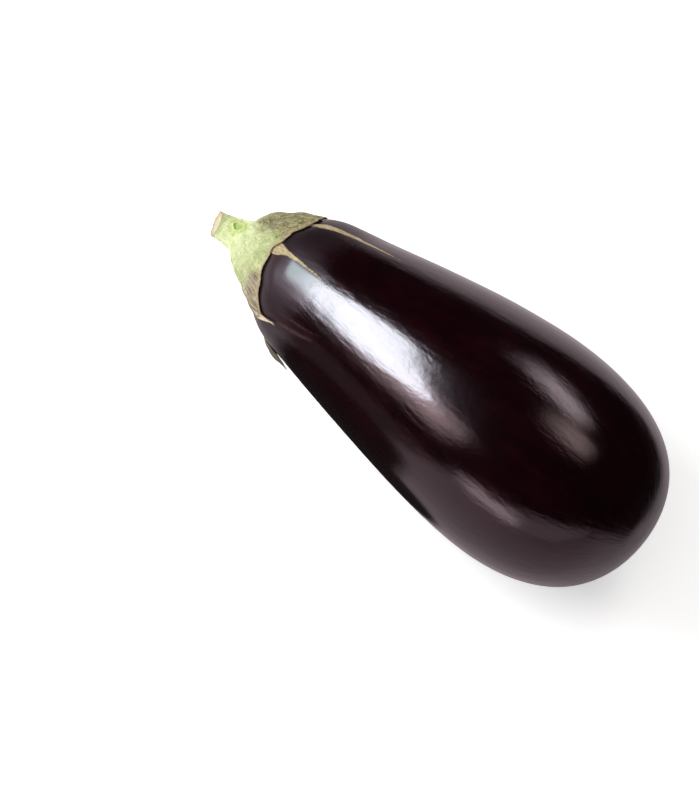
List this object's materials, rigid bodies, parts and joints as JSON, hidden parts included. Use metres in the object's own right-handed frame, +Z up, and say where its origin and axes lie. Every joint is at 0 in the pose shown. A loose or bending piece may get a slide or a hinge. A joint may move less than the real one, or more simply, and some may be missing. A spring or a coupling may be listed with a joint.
{
  "type": "eggplant",
  "caption": "Large dark purple eggplant, whole, with its lobed green calyx and short cut stem, lying on its side.",
  "frame": {"origin": "middle of the flat spot under the fruit that it rests on, at floor height", "axes": "+X along the eggplant from stem to blossom end, level with the floor; +Z up; +Y to the left when looking from the stem to the blossom end"},
  "size_m": [0.2282, 0.0922, 0.0925],
  "materials": {
    "skin": "glossy blackish purple skin",
    "calyx": "dull, finely hairy pale green, with olive and brown streaks",
    "stem": "dull ribbed pale green, with a tan cut end"
  },
  "bodies": {
    "root": {"fruit": "skin", "calyx": "calyx", "stem": "stem"}
  },
  "joints": []
}
